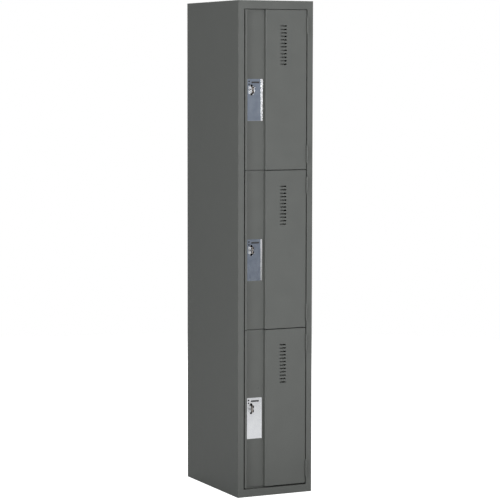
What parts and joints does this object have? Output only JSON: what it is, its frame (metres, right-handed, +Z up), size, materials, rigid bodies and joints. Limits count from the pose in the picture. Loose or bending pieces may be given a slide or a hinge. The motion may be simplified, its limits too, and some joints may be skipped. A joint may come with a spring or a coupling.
{
  "type": "locker cabinet",
  "caption": "Tall sheet-steel locker cabinet with stacked hinged doors, each with a full-height padlock channel, a stainless guard plate and staple, vent slots and a coat hook inside.",
  "frame": {"origin": "centre of the footprint's box (hinge barrels included), on the floor", "axes": "+Z up, doors face -Y, +X to the right seen from the front, so the hinges are at +X"},
  "size_m": [0.3048, 0.4657, 1.8288],
  "materials": {
    "grey_enamel": "fine orange-peel baked enamel, satin",
    "stainless": "satin polished stainless steel",
    "zinc_steel": "bright zinc plate",
    "black_steel": "blackened, satin",
    "dark_plastic": "moulded, matt",
    "rubber": "matt rubber"
  },
  "bodies": {
    "cabinet": {"left_side_panel": "grey_enamel", "right_side_panel": "grey_enamel", "left_rear_strip": "grey_enamel", "right_rear_strip": "grey_enamel", "back_panel": "grey_enamel", "top_panel": "grey_enamel", "floor_panel": "grey_enamel", "lower_shelf": "grey_enamel", "upper_shelf": "grey_enamel", "lock_upright": "grey_enamel", "hinge_upright": "grey_enamel", "top_rail": "grey_enamel", "bottom_rail": "grey_enamel", "lower_cross_rail": "grey_enamel", "upper_cross_rail": "grey_enamel", "back_rivets": "zinc_steel", "hook_rivets": "zinc_steel", "staple_rivets": "zinc_steel", "door_bumpers": "rubber", "upper_staple": "zinc_steel", "middle_staple": "zinc_steel", "lower_staple": "zinc_steel", "upper_catch_housing": "dark_plastic", "middle_catch_housing": "dark_plastic", "lower_catch_housing": "dark_plastic", "upper_catch_poles": "zinc_steel", "middle_catch_poles": "zinc_steel", "lower_catch_poles": "zinc_steel", "upper_coat_hook": "zinc_steel", "middle_coat_hook": "zinc_steel", "lower_coat_hook": "zinc_steel", "upper_frame_hinge_leaves": "grey_enamel", "middle_frame_hinge_leaves": "grey_enamel", "lower_frame_hinge_leaves": "grey_enamel", "upper_hinge_pins": "grey_enamel", "middle_hinge_pins": "grey_enamel", "lower_hinge_pins": "grey_enamel"},
    "upper_door": {"upper_door_panel": "grey_enamel", "upper_door_liner": "grey_enamel", "upper_guard_plate": "stainless", "upper_plate_rivets": "black_steel", "upper_door_hinge_leaves": "grey_enamel", "upper_strike": "zinc_steel"},
    "middle_door": {"middle_door_panel": "grey_enamel", "middle_door_liner": "grey_enamel", "middle_guard_plate": "stainless", "middle_plate_rivets": "black_steel", "middle_door_hinge_leaves": "grey_enamel", "middle_strike": "zinc_steel"},
    "lower_door": {"lower_door_panel": "grey_enamel", "lower_door_liner": "grey_enamel", "lower_guard_plate": "stainless", "lower_plate_rivets": "black_steel", "lower_door_hinge_leaves": "grey_enamel", "lower_strike": "zinc_steel"}
  },
  "joints": [
    {"name": "upper_door_hinge", "type": "hinge", "parent": "cabinet", "child": "upper_door", "pos_m": [0.1282, -0.22885, 1.5033], "axis": [0, 0, 1], "range_deg": [0, 180]},
    {"name": "middle_door_hinge", "type": "hinge", "parent": "cabinet", "child": "middle_door", "pos_m": [0.1282, -0.22885, 0.9153], "axis": [0, 0, 1], "range_deg": [0, 180]},
    {"name": "lower_door_hinge", "type": "hinge", "parent": "cabinet", "child": "lower_door", "pos_m": [0.1282, -0.22885, 0.3273], "axis": [0, 0, 1], "range_deg": [0, 180]}
  ]
}
